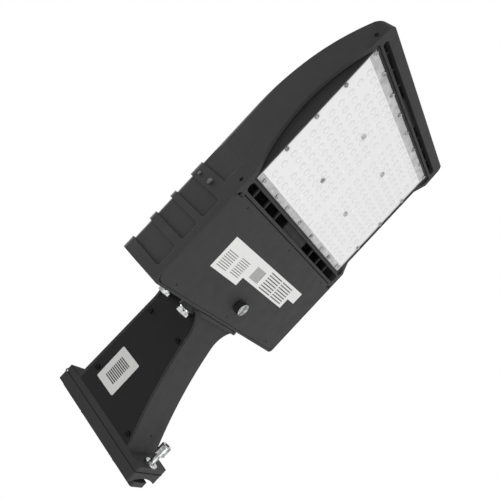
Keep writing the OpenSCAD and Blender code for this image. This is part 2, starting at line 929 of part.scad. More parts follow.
// Both leaning sides up to a height, seen along X, drawn in by inset
module sides_2d(inset, top) {
    intersection() {
        translate([-head_w, head_bottom])
            square([2 * head_w, top - head_bottom]);
        polygon([
            [-side_y(head_bottom, inset), head_bottom], [side_y(head_bottom, inset), head_bottom],
            [side_y(big, inset), big], [-side_y(big, inset), big]
        ]);
    }
}

// The driver box seen along X, drawn in by inset
module section_2d(inset) {
    edge = edge_from + edge_run() * side_up;
    r = roof_edge_r - inset;
    brow_y = edge[0] * (roof_r - inset) / (roof_r - roof_edge_r);
    sides_2d(inset, edge[1] + r * side_out[1]);
    for (s = [-1, 1])
        translate([s * edge[0], edge[1]])
            circle(r);
    intersection() {
        translate([0, crown_z - roof_r])
            circle(roof_r - inset, $fn = 360);
        translate([-brow_y, head_bottom])
            square([2 * brow_y, head_w]);
    }
}

// The hood seen along X, drawn in by inset
module hood_section_2d(inset) {
    r = roof_edge_r - inset;
    edge_z = hood_top - roof_edge_r;
    edge_y = side_y(edge_z, roof_edge_r);
    sides_2d(inset, edge_z + r * side_out[1]);
    for (s = [-1, 1])
        translate([s * edge_y, edge_z])
            circle(r + step);
    translate([-edge_y, head_bottom])
        square([2 * edge_y, hood_top - inset - head_bottom]);
}

// The hood seen from the side, drawn in by inset: level, two bends in a row, and a small nose
module hood_2d(inset) {
    low = head_bottom - poke;
    top = hood_top + proud - inset;
    bend_x = fall_c[0] + (fall_r - inset) * sin(fall_angle);
    round_x = nose_c[0] + (nose_r - inset) * sin(nose_angle);
    translate([head_x, low])
        square([fall_x - head_x, top - low]);
    intersection() {
        translate(fall_c + [0, proud])
            circle(fall_r - inset - step, $fn = 360);
        translate([fall_x - poke, low])
            square([bend_x + poke - fall_x, big]);
    }
    intersection() {
        translate(bend_c + [0, proud])
            circle(bend_r - inset - 2 * step, $fn = 360);
        translate([bend_x - poke, low])
            square([round_x + poke - bend_x, big]);
    }
    translate(nose_c + [0, proud])
        circle(nose_r - inset - 3 * step);
    translate([nose_c[0] - nose_r, low])
        square([nose_r + nose_r - inset - 4 * step, nose_c[1] + proud - low]);
}

// The head seen from above, from its back at x0, drawn in by inset
module plan_2d(x0, inset) {
    x1 = nose_x + 1 - inset;
    y = head_half_w + 1 - inset;
    tip_y = tip_half_w - inset;
    back = max(back_corner_r - inset, 1);
    front = nose_corner_r - inset;
    for (s = [-1, 1]) {
        translate([x0 + back, s * (y - back)])
            circle(back);
        translate([x1 - front, s * (tip_y - front)])
            circle(front + step);
    }
    translate([x0, back - y])
        square([2 * back, 2 * (y - back)]);
    translate([x0 + back, -y])
        square([x1 - taper_l - x0 - back + poke, 2 * y]);
    polygon([[x1 - taper_l, -y], [x1 - front, -tip_y], [x1 - front, tip_y], [x1 - taper_l, y]]);
    translate([x1 - 2 * front, front - tip_y])
        square([2 * front, 2 * (tip_y - front)]);
}

// The driver box's part of the head as a full solid
module box_solid(inset, x0, x1) {
    intersection() {
        along_x(x0, x1)
            section_2d(inset);
        along_z(-big, big)
            plan_2d(x0, inset);
    }
}

// The hood's part of the head as a full solid
module hood_solid(inset, x0) {
    intersection() {
        along_x(x0, nose_x + 2)
            hood_section_2d(inset);
        along_z(-big, big)
            plan_2d(head_x, inset);
        along_y(-head_w, head_w)
            hood_2d(inset);
    }
}

// Pockets between the ribs, round the sides and over the roof
module rib_pockets() {
    for (p = pockets)
        difference() {
            along_y(-head_w, head_w)
                round_rect(p, [pocket_z, big], pocket_corner_r);
            along_x(p[0] - poke, p[1] + poke)
                section_2d(pocket_d);
        }
}

// Slanted recess in the side where the hood leaves the raised band
module side_fade() {
    both_sides()
        translate([0, head_half_w, head_bottom])
            rotate([side_lean, 0, 0])
                along_z(fade_z - head_bottom, big)
                    polygon([
                        [band_x, 1], [band_x, -pocket_d], [band_x + fade_l, 0], [band_x + fade_l, 1]
                    ]);
}

module vent_bars(x, w, top) {
    for (s = [-1, 1], i = [2:4])
        block([x, x + w], [s * i * vent_pitch - vent_bar_w / 2, s * i * vent_pitch + vent_bar_w / 2],
            [vent_bar_z, top]);
    block([x, x + w], [-bridge_w / 2, bridge_w / 2], [vent_bar_z, top]);
}

// Knob post, tray bosses and bolt bosses that stay inside the driver box
module box_features() {
    rod_z(post_r, knob_x, 0, insert_z, big);
    for (x = tray_screw_x, y = [-tray_screw_y, tray_screw_y])
        rod_z(tray_boss_r, x, y, tray_plate_z + tray_plate_t, big);
    for (b = head_bolts())
        rod_x(back_boss_r, head_x, back_boss_x, b[0], b[1]);
}

module box_cavity() {
    difference() {
        intersection() {
            union() {
                box_solid(box_wall, head_x + back_wall, band_x - box_wall);
                along_x(band_x - box_wall - poke, bulkhead_x)
                    hood_section_2d(box_wall);
            }
            block([head_x + back_wall, bulkhead_x], [-head_w, head_w], [seat_z + seat_t, big]);
        }
        box_features();
    }
}

module hood_cavity() {
    difference() {
        intersection() {
            hood_solid(hood_wall, vent_x);
            block([vent_x, nose_x], [-head_w, head_w], [sink_z, big]);
        }
        both_sides()
            block([vent_x, nose_x], [window_half_y, head_w], [sink_z - poke, side_rail_top]);
        vent_bars(vent_x - poke, vent_w + poke, vent_bar_z + 3);
        vent_bars(front_vent_x, front_vent_w + poke, vent_bar_z + 3);
    }
}

module door_seat() {
    back = door_x0 - 0.5;
    half_w = door_w / 2 + 0.4;
    difference() {
        along_z(head_bottom - poke, seat_z)
            round_rect([back, bulkhead_x], [-half_w, half_w], door_corner_r - corner_room);
        both_sides()
            door_lug();
    }
    along_z(seat_z - poke, seat_z + seat_t + poke)
        round_rect([gasket_x0 + door_gasket_w, gasket_x1 - door_gasket_w],
            [-gasket_half_w + door_gasket_w, gasket_half_w - door_gasket_w], seat_corner_r);
}

// The lug that carries one end of the door's hinge
module door_lug() {
    y0 = roll_half_l + gap;
    rod_y(lug_r, roll_x, y0, y0 + lug_w, roll_z);
    block([roll_x - lug_r, roll_x + lug_r], [y0, y0 + lug_w], [roll_z, seat_z + poke]);
    block([roll_x + 1, bulkhead_x + poke], [y0, y0 + lug_w], [head_bottom, seat_z + poke]);
}

module vent_openings() {
    difference() {
        union() {
            along_z(head_bottom - poke, sink_z + poke)
                round_rect([vent_x, rail_x], [-vent_l / 2, vent_l / 2], vent_corner_r);
            along_z(head_bottom - poke, sink_z + poke)
                round_rect([front_vent_x, front_vent_x + front_vent_w],
                    [front_vent_in - vent_l / 2, vent_l / 2 - front_vent_in], front_vent_corner_r);
        }
        vent_bars(vent_x - poke, vent_w + 2 * poke, big);
        vent_bars(front_vent_x - poke, front_vent_w + 2 * poke, big);
    }
    along_z(head_bottom - poke, sink_z + poke)
        round_rect([rail_x + 2.8, rail_front_x], [-window_half_y, window_half_y], 2);
}

// Something round on the leaning side wall, at a height, standing out by rise
module on_side(x, z) {
    translate([x, side_y(z, 0), z])
        rotate([-90 + side_lean, 0, 0])
            children();
}

module housing() {
    color(casting)
        difference() {
            union() {
                box_solid(0, head_x, band_x);
                hood_solid(0, band_x - poke);
            }
            box_cavity();
            hood_cavity();
            door_seat();
            vent_openings();
            rib_pockets();
            side_fade();
            along_y(-head_w, head_w)
                translate([arch_x, arch_top - arch_r])
                    circle(arch_r, $fn = 360);
            for (b = head_bolts())
                rod_x(head_bolt_r + running, head_x - poke, head_bolt_tip + 1, b[0], b[1]);
            rod_x(wire_hole_r, head_x - poke, head_x + back_wall + poke, 0, wire_hole_z);
            rod_x(grommet_r, bulkhead_x - poke, vent_x + poke, 0, grommet_z);
            rod_z(insert_r, knob_x, 0, insert_z - poke, insert_z + insert_h);
            both_sides()
                rod_y(door_pin_r + running, roll_x, roll_half_l, roll_half_l + gap + lug_w, roll_z);
            for (x = tray_screw_x, y = [-tray_screw_y, tray_screw_y])
                rod_z(small_screw_r, x, y, tray_plate_z, tray_plate_z + tray_plate_t + tray_screw_in + poke);
            rod_z(small_screw_r, ground_at[0], ground_at[1], seat_z + seat_t - ground_screw_l,
                seat_z + seat_t + poke);
            both_sides()
                for (x = frame_screws)
                    on_side(x, frame_screw_z)
                        cylinder(r = frame_screw_r, h = 2 * frame_screw_d, center = true);
        }
}

module side_plugs() {
    color(steel)
        both_sides()
            for (p = [plug_small, plug_large])
                on_side(p[0], p[1]) {
                    cylinder(r = p[2], h = plug_rise);
                    cylinder(r = p[2] * plug_neck, h = plug_height);
                }
}

module frame_screws() {
    color(rubber)
        both_sides()
            for (x = frame_screws)
                on_side(x, frame_screw_z)
                    difference() {
                        translate([0, 0, -frame_screw_d])
                            cylinder(r = frame_screw_r - step, h = frame_screw_d - gap);
                        translate([0, 0, 0.5 - frame_screw_d])
                            cylinder(r = frame_socket_r, h = frame_screw_d, $fn = 6);
                    }
}

module door_gasket() {
    color(rubber)
        along_z(seat_z - door_gasket_t, seat_z)
            frame_2d([gasket_x0, gasket_x1], [-gasket_half_w, gasket_half_w], seat_corner_r,
                door_gasket_w);
}

module driver_tray() {
    color(steel)
        difference() {
            union() {
                block(tray_plate_x, [-tray_plate_half_y, tray_plate_half_y],
                    [tray_plate_z, tray_plate_z + tray_plate_t]);
                for (x = [tray_plate_x[0], tray_plate_x[1] - tray_plate_t])
                    block([x, x + tray_plate_t], [-tray_plate_half_y, tray_plate_half_y],
                        [tray_plate_z - tray_lip, tray_plate_z]);
            }
            for (x = tray_screw_x, y = [-tray_screw_y, tray_screw_y])
                rod_z(small_screw_r + running, x, y, tray_plate_z - 1, tray_plate_z + tray_plate_t + 1);
        }
}

module tray_screws() {
    color(steel)
        for (x = tray_screw_x, y = [-tray_screw_y, tray_screw_y])
            screw_up(x, y, tray_plate_z, small_screw_r, small_head_r, small_head_h,
                tray_plate_t + tray_screw_in);
}

// One driver: a ribbed case between two end caps, hung under the tray
module driver(side) {
    y0 = side > 0 ? driver_y : -driver_y - driver_size[1];
    x1 = driver_x + driver_size[0];
    top = tray_plate_z;
    bottom = top - driver_size[2];
    y1 = y0 + driver_size[1];
    color(steel)
        difference() {
            union() {
                along_y(y0 + driver_cap, y1 - driver_cap)
                    round_rect([driver_x + driver_in, x1 - driver_in], [bottom + groove_w, top], 2);
                for (y = [y0, y1 - driver_cap])
                    along_y(y, y + driver_cap)
                        round_rect([driver_x, x1], [bottom, top], driver_in);
            }
            for (i = [1:driver_grooves])
                translate([driver_x + driver_in + i * groove_pitch, 0, bottom])
                    block([0, groove_w], [y0 + driver_cap + groove_w, y1 - driver_cap - groove_w],
                        [0, groove_w + groove_d]);
            for (x = tray_screw_x, y = [-tray_screw_y, tray_screw_y])
                rod_z(small_head_r + 1.5, x, y, top - 4, top + 1);
        }
}

module surge_protector() {
    at = surge_at;
    color(rubber)
        block([at[0], at[0] + surge_size[0]], [at[1], at[1] + surge_size[1]],
            [at[2], at[2] + surge_size[2]]);
}

module terminal_block() {
    at = block_at;
    top = at[2] + block_size[2];
    color(paper)
        difference() {
            block([at[0], at[0] + block_size[0]], [at[1], at[1] + block_size[1]], [at[2], top]);
            for (i = [-1, 0, 1])
                rod_z(entry_r, entry_at(i)[0], entry_at(i)[1], top - entry_d, top + poke);
        }
}

// Height at which a driver's lead goes through the grommet
function core_z(i) = grommet_z + core_rise - core_pitch * i;

module driver_leads() {
    color(rubber)
        for (side = [-1, 1], i = [0, 1])
            wire([
                [driver_x + driver_size[0], side * (driver_y + 2 + 4 * i), driver_lead_z],
                [driver_x + driver_size[0] + 3, side * (driver_y + 2 + 4 * i), driver_lead_z],
                [bulkhead_x - 3, side * core_y, core_z(i)],
                [vent_x + 6, side * core_y, core_z(i)],
                [sink_x0 + 1.5, side * (16 - 9 * i), sink_z + sink_t + core_r + 0.1]
            ], core_r);
}

// A screw that points down into the door's seat
module ground_screw() {
    color([0.2, 0.5, 0.25])
        translate([0, 0, seat_z + seat_t])
            mirror([0, 0, 1])
                screw_up(ground_at[0], ground_at[1], 0, small_screw_r, ground_head_r, ground_head_h,
                    ground_screw_l);
}

module bulkhead_grommet() {
    color(rubber)
        difference() {
            union() {
                rod_x(grommet_r, bulkhead_x, vent_x, 0, grommet_z);
                rod_x(grommet_r + 2, vent_x, vent_x + 1.6, 0, grommet_z);
            }
            for (side = [-1, 1], i = [0, 1])
                rod_x(core_r, bulkhead_x - 1, vent_x + 3, side * core_y, core_z(i));
        }
}

// ---- Light module -------------------------------------------------------

module heat_sink() {
    fin_pitch = (tray_w - fin_t) / (fin_count - 1);
    color(casting) {
        difference() {
            union() {
                block([sink_x0, sink_x1], [-tray_w / 2, tray_w / 2], [sink_z, sink_z + sink_t]);
                along_z(tray_z, sink_z)
                    frame_2d([tray_x, tray_x + tray_l], [-tray_w / 2, tray_w / 2], lens_corner_r, tray_wall);
                intersection() {
                    for (i = [0:fin_count - 1]) {
                        y = -tray_w / 2 + i * fin_pitch;
                        block([tray_x, tray_x + tray_l], [y, y + fin_t], [sink_z + sink_t, fin_top]);
                    }
                    along_y(-head_w, head_w)
                        hood_2d(hood_wall + fin_clear);
                }
            }
            for (s = lens_screws())
                rod_z(small_screw_r, s[0], s[1], tray_z, sink_z + sink_t - 0.8);
            for (s = concat(centre_screws(), board_screw_places()))
                rod_z(small_screw_r, s[0], s[1], tray_z, sink_z + sink_t - 0.8);
        }
    }
}

// Places of the screws round the lens plate
function lens_screws() = [
    for (s = [-1, 1]) each [
        for (y = back_screw_y) [edge_screw_x[0], s * y],
        for (y = front_screw_y) [edge_screw_x[1], s * y],
        for (x = side_screw_x) [x, s * side_screw_y]
    ]
];

// Places of the four screws in the lens plate's middle
function centre_screws() = [
    for (sx = [-1, 1], sy = [-1, 1]) [lens_mid + sx * centre_screw_x, sy * centre_screw_y]
];

// Places of the screws that hold the boards
function board_screw_places() = concat(
    [for (sx = [-1, 1], sy = [-1, 1], o = board_screw_offsets) [lens_mid + sx * o[0], sy * o[1]]],
    [for (sx = [-1, 1], sy = [-1, 1]) [lens_mid + sx * board_screw_mid_x, sy * board_screw_mid_y]]
);

// Places of the LEDs on one board, leaving out those that make room for screws
function led_places(side) = [
    for (i = [0:led_columns - 1], j = [0:led_rows - 1])
        if (j != skipped_row || len(search(i, skipped_columns)) == 0)
            [lens_mid + (i - (led_columns - 1) / 2) * led_pitch_x, side * (led_gap / 2 + j * led_pitch_y)]
];

function side_range(side, range) = side > 0 ? range : [-range[1], -range[0]];

module thermal_pads() {
    color([0.7, 0.7, 0.75])
        for (side = [-1, 1])
            difference() {
                block(board_x, side_range(side, board_y), [sink_z - pad_t, sink_z]);
                for (s = concat(centre_screws(), board_screw_places()))
                    rod_z(board_hole_r, s[0], s[1], sink_z - 2, sink_z + 1);
            }
}

module led_board(side) {
    color(paper)
        difference() {
            block(board_x, side_range(side, board_y), [board_z, board_z + board_t]);
            for (s = concat(centre_screws(), board_screw_places()))
                rod_z(board_hole_r, s[0], s[1], board_z - 1, board_z + board_t + 1);
        }
}

module leds(side) {
    color([0.95, 0.9, 0.5])
        for (p = led_places(side))
            block([p[0] - led_w / 2, p[0] + led_w / 2], [p[1] - led_w / 2, p[1] + led_w / 2],
                [board_z - led_h, board_z]);
}

module board_screws() {
    color(steel)
        for (s = board_screw_places()) {
            rod_z(board_head_r, s[0], s[1], board_z - board_head_h, board_z);
            rod_z(small_screw_r, s[0], s[1], board_z, sink_z + 2);
        }
}

module lens_gasket() {
    color(rubber)
        difference() {
            along_z(lens_z + lens_t, sink_z)
                frame_2d([lens_x0 + seal_inset, lens_x1 - seal_inset],
                    [-lens_half_y + seal_inset, lens_half_y - seal_inset], lens_corner_r, seal_w);
            for (s = lens_screws())
                rod_z(small_screw_r + running, s[0], s[1], lens_z, sink_z + 1);
        }
}

// Flat clear plate with one low optic under each LED
module lens_plate() {
    cap_r = (optic_r * optic_r + optic_h * optic_h) / (2 * optic_h);
    color([0.95, 0.95, 0.97])
        difference() {
            union() {
                along_z(lens_z, lens_z + lens_t)
                    round_rect([lens_x0, lens_x1], [-lens_half_y, lens_half_y], lens_corner_r);
                for (side = [-1, 1], p = led_places(side))
                    intersection() {
                        translate([p[0], p[1], lens_z - optic_h + cap_r])
                            sphere(r = cap_r);
                        rod_z(optic_r + 1, p[0], p[1], lens_z - optic_h - 1, lens_z + poke);
                    }
            }
            for (s = concat(lens_screws(), centre_screws()))
                rod_z(small_screw_r + running, s[0], s[1], lens_z - 3, lens_z + lens_t + 1);
        }
}

module lens_edge_screws() {
    color(rubber)
        for (s = lens_screws())
            screw_up(s[0], s[1], lens_z, small_screw_r, small_head_r, small_head_h, lens_screw_l);
}

module lens_centre_screws() {
    color(rubber)
        for (s = centre_screws())
            screw_up(s[0], s[1], lens_z, small_screw_r, centre_head_r, small_head_h, lens_screw_l);
}

// ---- Door ---------------------------------------------------------------

module door() {
    y0 = roll_half_l;
    color(casting)
        difference() {
            union() {
                along_z(head_bottom, door_inner_z)
                    round_rect([door_x0, door_x1], [-door_w / 2, door_w / 2], door_corner_r);
                rod_z(door_boss_r, knob_x, 0, door_inner_z, door_boss_top);
                for (y = [-door_rib_y, door_rib_y])
                    block([gasket_x0 + door_rib_in, gasket_x1 - door_rib_in], [y - 1, y + 1],
                        [door_inner_z, door_inner_z + door_rib_h]);
            }
            block([roll_x, door_x1 + 1], [-y0, y0], [head_bottom - 1, roll_z]);
            both_sides()
                block([roll_x - lug_r - gap, door_x1 + 1], [y0, door_w],
                    [head_bottom - 1, door_inner_z + 1]);
            rod_z(knob_screw_r + running, knob_x, 0, head_bottom - 1, door_boss_top + 1);
            rod_y(door_pin_r, roll_x, -door_w, -y0 + pin_hole_l, roll_z);
            rod_y(door_pin_r, roll_x, y0 - pin_hole_l, door_w, roll_z);
            for (x = dimple_x, y = dimple_y)
                rod_z(dimple_r, x, y, head_bottom - 1, head_bottom + dimple_d);
        }
    color(casting)
        difference() {
            rod_y(door_roll_r, roll_x, -y0, y0, roll_z);
            rod_y(door_pin_r, roll_x, -door_w, -y0 + pin_hole_l, roll_z);
            rod_y(door_pin_r, roll_x, y0 - pin_hole_l, door_w, roll_z);
        }
}

module door_label() {
    color(paper)
        along_z(head_bottom - sticker_t, head_bottom)
            translate([door_x0, 0])
                polygon(door_label_2d);
}

module door_pin(side) {
    y0 = roll_half_l - pin_hole_l + poke;
    y1 = roll_half_l + gap + lug_w - 0.2;
    color(steel)
        if (side > 0)
            rod_y(door_pin_r, roll_x, y0, y1, roll_z);
        else
            rod_y(door_pin_r, roll_x, -y1, -y0, roll_z);
}

module knob_insert() {
    color([0.8, 0.65, 0.3])
        difference() {
            rod_z(insert_r - 0.02, knob_x, 0, insert_z, insert_z + insert_h);
            rod_z(knob_screw_r + insert_clear, knob_x, 0, insert_z - 1, insert_z + insert_h + 1);
        }
}

module knob_screw() {
    color(steel)
        difference() {
            union() {
                rod_z(screw_head_r, knob_x, 0, grip_bottom, grip_bottom + screw_head_h);
                rod_z(knob_screw_r, knob_x, 0, grip_bottom + screw_head_h, thread_top);
                rod_z(tip_r, knob_x, 0, thread_top, tip_top);
                rod_z(ring_r, knob_x, 0, ring_z, ring_z + ring_t);
            }
            block([knob_x - knob_r, knob_x + knob_r], [-slot_w / 2, slot_w / 2],
                [grip_bottom - 1, grip_bottom + slot_d]);
        }
}

module knob_grip() {
    color(rubber)
        difference() {
            rod_z(knob_r, knob_x, 0, grip_bottom, grip_top);
            rod_z(screw_head_r, knob_x, 0, grip_bottom - 1, grip_bottom + screw_head_h);
            rod_z(knob_screw_r, knob_x, 0, grip_bottom, grip_top + 1);
            for (i = [0:knob_grooves - 1])
                translate([knob_x, 0, 0])
                    rotate([0, 0, i * 360 / knob_grooves])
                        rod_z(groove_r, knob_r + 0.2, 0, grip_bottom - 1, grip_top - 1.2, groove_r);
        }
}

module knob_washer() {
    color(rubber)
        difference() {
            rod_z(knob_washer_r, knob_x, 0, grip_top, head_bottom - gap);
            rod_z(knob_screw_r + running, knob_x, 0, grip_top - 1, head_bottom);
        }
}

// ---- Pieces -------------------------------------------------------------

pole_adapter();
adapter_gasket();
hook_pin();
pole_bolt(1);  // pole_bolt_upper
pole_bolt(-1);  // pole_bolt_lower
pole_washer(1);  // pole_washer_upper
pole_washer(-1);  // pole_washer_lower
clamp_bar();
arm_body();
arm_cover();
cover_screw(0);  // cover_screw_1
cover_screw(1);  // cover_screw_2
cover_screw(2);  // cover_screw_3
cover_screw(3);  // cover_screw_4
arm_label();
head_bolt(0);  // head_bolt_1
head_bolt(1);  // head_bolt_2
head_bolt(2);  // head_bolt_3
head_bolt(3);  // head_bolt_4
head_washer(0);  // head_washer_1
head_washer(1);  // head_washer_2
head_washer(2);  // head_washer_3
head_washer(3);  // head_washer_4
flange_gasket();
lock_bolt();
lock_bolt_washer();
lock_seat_washer();
supply_leads();
housing();
side_plugs();
frame_screws();
door_gasket();
driver_tray();
tray_screws();
driver(-1);  // driver_near
driver(1);  // driver_far
surge_protector();
terminal_block();
driver_leads();
ground_screw();
bulkhead_grommet();
heat_sink();
thermal_pads();
led_board(-1);  // led_board_near
led_board(1);  // led_board_far
leds(-1);  // leds_near
leds(1);  // leds_far
board_screws();
lens_gasket();
lens_plate();
lens_edge_screws();
lens_centre_screws();
door();
door_label();
door_pin(-1);  // door_pin_near
door_pin(1);  // door_pin_far
knob_insert();
knob_screw();
knob_grip();
knob_washer();
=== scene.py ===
"""A shoebox area light on its pole arm, seen from below and from one side, in a pale studio."""

import json
import math

import bmesh
import bpy
from mathutils import Matrix, Vector


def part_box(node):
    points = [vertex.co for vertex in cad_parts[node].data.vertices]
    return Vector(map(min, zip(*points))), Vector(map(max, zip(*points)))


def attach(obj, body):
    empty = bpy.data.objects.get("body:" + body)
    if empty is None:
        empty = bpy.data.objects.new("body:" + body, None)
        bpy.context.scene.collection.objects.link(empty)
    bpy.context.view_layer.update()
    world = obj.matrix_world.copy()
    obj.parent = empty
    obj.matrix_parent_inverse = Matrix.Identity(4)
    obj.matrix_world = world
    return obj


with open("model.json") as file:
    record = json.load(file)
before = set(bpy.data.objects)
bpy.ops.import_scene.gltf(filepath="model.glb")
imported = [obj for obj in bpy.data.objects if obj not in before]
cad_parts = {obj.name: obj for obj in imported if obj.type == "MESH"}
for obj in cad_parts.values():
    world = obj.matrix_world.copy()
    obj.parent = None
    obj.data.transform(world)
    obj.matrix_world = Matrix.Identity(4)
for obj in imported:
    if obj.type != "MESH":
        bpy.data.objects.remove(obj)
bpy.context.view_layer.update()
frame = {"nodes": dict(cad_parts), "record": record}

MM = 0.001

# The camera, fitted to the photograph: its place in metres and its turns in degrees
CAMERA_PLACE = Vector((0.30307, -0.693, -0.42644))
CAMERA_RISE = 33.045
CAMERA_YAW = 0.706
CAMERA_ROLL = 46.646
CAMERA_LENS = 45.819
SENSOR = 36.0

# The floor's height and half its side, in metres
FLOOR_Z = -1.25
FLOOR_HALF = 9.0

# How far the print stands off its label, and its own thickness
LABEL_LIFT = 0.04 * MM
INK_T = 0.02 * MM

# The colours of the castings, of the arm's cover and of plated steel
CHARCOAL = (0.043, 0.043, 0.0437)
NEAR_BLACK = (0.015, 0.015, 0.0155)
ZINC = (0.62, 0.625, 0.63)

# How far the seal under the lens plate shows in from its back, front and side edges
SEAL_BACK = 9.0 * MM
SEAL_FRONT = 11.5 * MM
SEAL_SIDE = 3.0 * MM

# The gap between the boards, seen through the lens plate: its end from the back edge, and half
# its width
GAP_END = 19.0 * MM
GAP_HALF = 0.5 * MM

# How far the seal's and the gap's edges are blurred to each side
BLUR = 0.4 * MM

# The print on the labels, in millimetres: the first line's or bar's place along and across the
# label, the number of them, their pitch, thickness and length
DOOR_LINES = (
    (6, 6, 8, 3.1, 0.9, 24),
    (8, 38, 8, 3.1, 0.9, 22),
    (15, 112, 7, 4.1, 1.5, 34),
    (15, 150, 7, 4.1, 1.5, 34),
)
DOOR_BARS = (17, 78, 9, 2.8, 1.4, 18)
ARM_LINES = (10, 10, 11, 2.9, 1.6, 19)

# The light on the object: the world's level, and a wide lamp above with its direction, strength
# and spread in degrees
AMBIENT = 0.4
TOP_DIRECTION = (0.1, -0.05, -1.0)
TOP_STRENGTH = 1.9
TOP_SPREAD = 40

# The soft lamp below: its place and target in metres, its side and its power
KEY_PLACE = (-0.1, -0.5, -1.1)
KEY_TARGET = (0.35, 0.0, 0.0)
KEY_SIDE = 0.35
KEY_POWER = 3.0


# ---- Material helpers -------------------------------------------------------


class Finish:
    """One procedural material: a Principled shader with short ways to add the nodes that feed it."""

    def __init__(self, name, colour, roughness, metallic=0.0, specular=0.5):
        self.material = bpy.data.materials.new(name)
        self.material.use_nodes = True
        self.material.diffuse_color = (*colour, 1.0)
        self.tree = self.material.node_tree
        self.shader = self.tree.nodes["Principled BSDF"]
        self.shader.inputs["Base Color"].default_value = (*colour, 1.0)
        self.shader.inputs["Roughness"].default_value = roughness
        self.shader.inputs["Metallic"].default_value = metallic
        self.shader.inputs["Specular IOR Level"].default_value = specular
        self.place = self.add("ShaderNodeTexCoord").outputs["Object"]
        self.normal = None

    def add(self, kind, **settings):
        node = self.tree.nodes.new(kind)
        for key, value in settings.items():
            setattr(node, key, value)
        return node

    def link(self, output, target):
        self.tree.links.new(output, target)

    def stretched(self, scale):
        """The object's own coordinates, stretched along the axes."""
        mapping = self.add("ShaderNodeMapping")
        mapping.inputs["Scale"].default_value = scale
        self.link(self.place, mapping.inputs["Vector"])
        return mapping.outputs["Vector"]

    def noise(self, scale, detail=2.0, rough=0.5, where=None):
        node = self.add("ShaderNodeTexNoise")
        node.inputs["Scale"].default_value = scale
        node.inputs["Detail"].default_value = detail
        node.inputs["Roughness"].default_value = rough
        self.link(where or self.place, node.inputs["Vector"])
        return node.outputs["Fac"]

    def cells(self, scale):
        node = self.add("ShaderNodeTexVoronoi", feature="F1")
        node.inputs["Scale"].default_value = scale
        self.link(self.place, node.inputs["Vector"])
        return node.outputs["Distance"]

    def spread(self, value, low, high, to_low=0.0, to_high=1.0):
        """Maps a value's range low..high to to_low..to_high, clamped."""
        node = self.add("ShaderNodeMapRange", clamp=True)
        node.inputs["From Min"].default_value = low
        node.inputs["From Max"].default_value = high
        node.inputs["To Min"].default_value = to_low
        node.inputs["To Max"].default_value = to_high
        self.link(value, node.inputs["Value"])
        return node.outputs["Result"]

    def axis(self, letter):
        node = self.add("ShaderNodeSeparateXYZ")
        self.link(self.place, node.inputs["Vector"])
        return node.outputs[letter]

    def steepness(self):
        """0 on faces that look along Z, rising to 1 on the flanks of small domes; the lens plate uses
        it as the mask of its painted dome shade.
        """
        coordinates = self.add("ShaderNodeTexCoord")
        parts = self.add("ShaderNodeSeparateXYZ")
        self.link(coordinates.outputs["Normal"], parts.inputs["Vector"])
        return self.spread(self.combine("ABSOLUTE", parts.outputs["Z"]), 0.97, 0.7)

    def multiply(self, first, second):
        return self.combine("MULTIPLY", first, second)

    def combine(self, operation, first, second=0.0):
        node = self.add("ShaderNodeMath", operation=operation)
        for output, target in zip((first, second), node.inputs):
            if isinstance(output, float):
                target.default_value = output
            else:
                self.link(output, target)
        return node.outputs["Value"]

    def mix(self, factor, first, second):
        """A colour between first and second; each is a colour or another node's output."""
        node = self.add("ShaderNodeMix", data_type="RGBA")
        self.link(factor, node.inputs["Factor"])
        for value, target in ((first, node.inputs["A"]), (second, node.inputs["B"])):
            if isinstance(value, tuple):
                target.default_value = (*value, 1.0)
            else:
                self.link(value, target)
        return node.outputs["Result"]

    def rounded(self, radius):
        """Softens every edge's shading over a small radius, and returns where the edges are."""
        bevel = self.add("ShaderNodeBevel", samples=6)
        bevel.inputs["Radius"].default_value = radius
        geometry = self.add("ShaderNodeNewGeometry")
        dot = self.add("ShaderNodeVectorMath", operation="DOT_PRODUCT")
        self.link(bevel.outputs["Normal"], dot.inputs[0])
        self.link(geometry.outputs["Normal"], dot.inputs[1])
        self.normal = bevel.outputs["Normal"]
        return self.spread(dot.outputs["Value"], 0.995, 0.86)

    def bump(self, height, strength, distance):
        node = self.add("ShaderNodeBump")
        node.inputs["Strength"].default_value = strength
        node.inputs["Distance"].default_value = distance
        self.link(height, node.inputs["Height"])
        if self.normal:
            self.link(self.normal, node.inputs["Normal"])
        self.normal = node.outputs["Normal"]

    def colour(self, output):
        self.link(output, self.shader.inputs["Base Color"])

    def rough(self, output):
        self.link(output, self.shader.inputs["Roughness"])

    def done(self):
        if self.normal:
            self.link(self.normal, self.shader.inputs["Normal"])
        return self.material


def scaled(colour, factor):
    return tuple(channel * factor for channel in colour)


# ---- Materials --------------------------------------------------------------


def powder_coat(name, base, edge_gain, grain):
    """Textured powder coat on a casting: fine pebbling, slow mottling and slightly rubbed edges."""
    f = Finish(name, base, 0.55, specular=0.12)
    edges = f.rounded(0.9 * MM)
    slow = f.noise(14.0, 3.0)
    fine = f.noise(900.0, 3.0, 0.6)
    coat = f.mix(f.spread(slow, 0.35, 0.65), scaled(base, 0.93), scaled(base, 1.07))
    coat = f.mix(f.spread(fine, 0.3, 0.7), scaled(base, 0.88), coat)
    worn = f.multiply(edges, f.spread(f.noise(160.0, 4.0, 0.7), 0.35, 0.7, 0.15, 0.8))
    f.colour(f.mix(worn, coat, scaled(base, edge_gain)))
    f.rough(f.spread(f.noise(60.0, 4.0), 0.3, 0.7, 0.46, 0.6))
    f.bump(f.noise(grain, 2.0, 0.55), 0.35, 0.05 * MM)
    return f.done()


def rubber(name, base):
    """Moulded rubber: dark and dusty, with a faint grain."""
    f = Finish(name, base, 0.78, specular=0.3)
    f.rounded(0.3 * MM)
    dust = f.spread(f.noise(45.0, 5.0, 0.65), 0.4, 0.75, 0.0, 0.5)
    f.colour(f.mix(dust, base, scaled(base, 2.2)))
    f.rough(f.spread(f.noise(220.0), 0.3, 0.7, 0.7, 0.88))
    f.bump(f.noise(2200.0, 2.0), 0.3, 0.04 * MM)
    return f.done()


